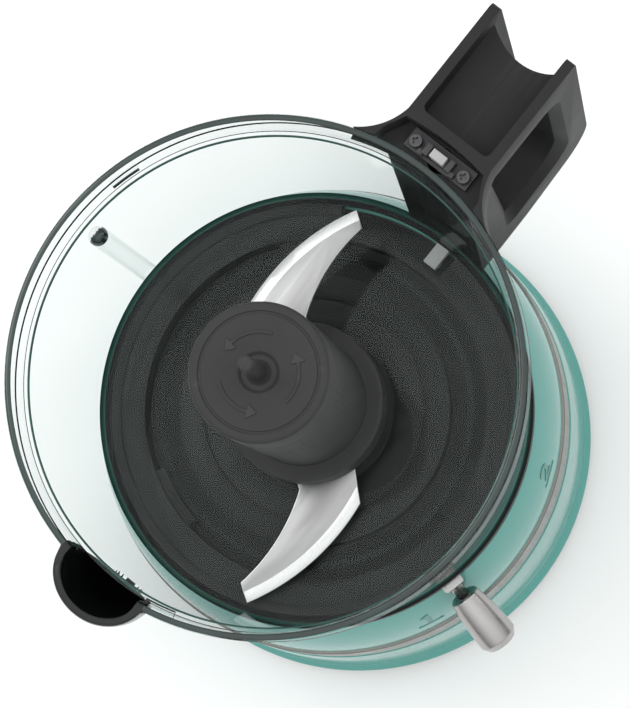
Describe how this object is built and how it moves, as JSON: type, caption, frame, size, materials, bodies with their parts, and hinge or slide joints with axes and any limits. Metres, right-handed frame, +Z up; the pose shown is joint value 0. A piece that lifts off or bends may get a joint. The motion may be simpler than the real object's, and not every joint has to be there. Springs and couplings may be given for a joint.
{
  "type": "food processor",
  "caption": "Small food processor: round motor base with speed lever, clear work bowl with closed-loop handle and pouring spout, and a curved-blade hub on a central spindle.",
  "frame": {"origin": "on the table surface, under the bowl and spindle axis", "axes": "+Z up along the spindle axis, +X out along the handle, -Y to the front where the speed lever stands"},
  "size_m": [0.1833, 0.1517, 0.219],
  "materials": {
    "teal_plastic": "glossy moulded plastic, aqua",
    "satin_trim": "satin metal band",
    "dark_plastic": "fine-grained black plastic",
    "foot_rubber": "matte rubber",
    "screw_steel": "zinc-plated steel",
    "deck_plastic": "dark grey moulded plastic",
    "seal_rubber": "nitrile rubber",
    "cast_plate": "die-cast aluminium",
    "natural_nylon": "natural nylon",
    "sintered_bronze": "oil-filled sintered bronze",
    "motor_steel": "drawn steel",
    "ferrite": "ground ferrite",
    "carbon": "pressed carbon",
    "board_laminate": "green solder mask",
    "component_plastic": "moulded component cases",
    "wire_insulation": "soft vinyl insulation",
    "spring_steel": "drawn spring wire",
    "spindle_steel": "ground steel",
    "copper_wire": "enamelled copper",
    "satin_lever": "satin nickel",
    "clear_bowl": "clear moulded plastic, faint green edge",
    "handle_plastic": "fine-grained black plastic",
    "guide_plastic": "grey plastic",
    "plunger_plastic": "light grey plastic",
    "hub_plastic": "dark grey moulded plastic",
    "blade_steel": "ground stainless steel"
  },
  "bodies": {
    "base": {"base_housing": "teal_plastic", "base_skirt": "teal_plastic", "trim_band": "satin_trim", "bottom_plate": "dark_plastic", "feet": "foot_rubber", "bottom_screws": "screw_steel", "cord_inlet": "dark_plastic", "deck": "deck_plastic", "deck_screws": "screw_steel", "spindle_seal": "seal_rubber", "gear_plate": "cast_plate", "plate_screws": "screw_steel", "gear_cover": "natural_nylon", "cover_screws": "screw_steel", "lower_spindle_bush": "sintered_bronze", "upper_spindle_bush": "sintered_bronze", "motor_can": "motor_steel", "motor_end_bell": "natural_nylon", "motor_screws": "screw_steel", "motor_bearings": "sintered_bronze", "motor_magnets": "ferrite", "brush_holders": "sintered_bronze", "carbon_brushes": "carbon", "circuit_board": "board_laminate", "board_screws": "screw_steel", "board_components": "component_plastic", "speed_switch": "component_plastic", "interlock_switch": "component_plastic", "wiring": "wire_insulation", "pin_guide": "natural_nylon", "pin_spring": "spring_steel"},
    "rotor": {"motor_shaft": "spindle_steel", "pinion": "spindle_steel", "armature_core": "motor_steel", "armature_windings": "copper_wire", "commutator": "copper_wire", "cooling_fan": "natural_nylon"},
    "drive_spindle": {"spindle": "spindle_steel", "output_gear": "natural_nylon", "retaining_ring": "spring_steel", "thrust_washer": "seal_rubber"},
    "lever": {"lever_arm": "satin_lever", "lever_knob": "satin_lever", "lever_slider": "natural_nylon"},
    "base_pin": {"interlock_pin": "natural_nylon"},
    "work_bowl": {"bowl": "clear_bowl", "handle": "handle_plastic", "handle_screws": "screw_steel", "plunger_guide": "guide_plastic", "plunger_spring": "spring_steel"},
    "lid_plunger": {"plunger": "plunger_plastic"},
    "blade_assembly": {"blade_hub": "hub_plastic", "hub_cap": "hub_plastic", "drive_insert": "natural_nylon", "upper_blade": "blade_steel", "lower_blade": "blade_steel", "blade_clamp": "hub_plastic"}
  },
  "joints": [
    {"name": "spindle_spin", "type": "hinge", "parent": "base", "child": "drive_spindle", "pos_m": [0, 0, 0], "axis": [0, 0, 1], "continuous": true},
    {"name": "rotor_spin", "type": "hinge", "parent": "base", "child": "rotor", "pos_m": [-0.03, 0, 0], "axis": [0, 0, 1], "continuous": true},
    {"name": "blade_lift", "type": "slide", "parent": "drive_spindle", "child": "blade_assembly", "axis": [0, 0, 1], "range_m": [0, 0.09]},
    {"name": "bowl_twist", "type": "hinge", "parent": "base", "child": "work_bowl", "pos_m": [0, 0, 0], "axis": [0, 0, 1], "range_deg": [0, 25]},
    {"name": "speed_lever_turn", "type": "hinge", "parent": "base", "child": "lever", "pos_m": [0, 0, 0], "axis": [0, 0, 1], "range_deg": [0, 28]},
    {"name": "plunger_press", "type": "slide", "parent": "work_bowl", "child": "lid_plunger", "axis": [0, 0, 1], "range_m": [-0.0028, 0], "stiffness_N_per_m": 400, "springref_m": 0.001, "deforming": ["plunger_spring"]},
    {"name": "base_pin_press", "type": "slide", "parent": "base", "child": "base_pin", "axis": [0, 0, 1], "range_m": [-0.0028, 0], "stiffness_N_per_m": 300, "springref_m": 0.001, "deforming": ["pin_spring"]}
  ],
  "couplings": [
    {"joint": "rotor_spin", "follows": "spindle_spin", "ratio": -4},
    {"joint": "base_pin_press", "follows": "plunger_press", "ratio": 1}
  ]
}
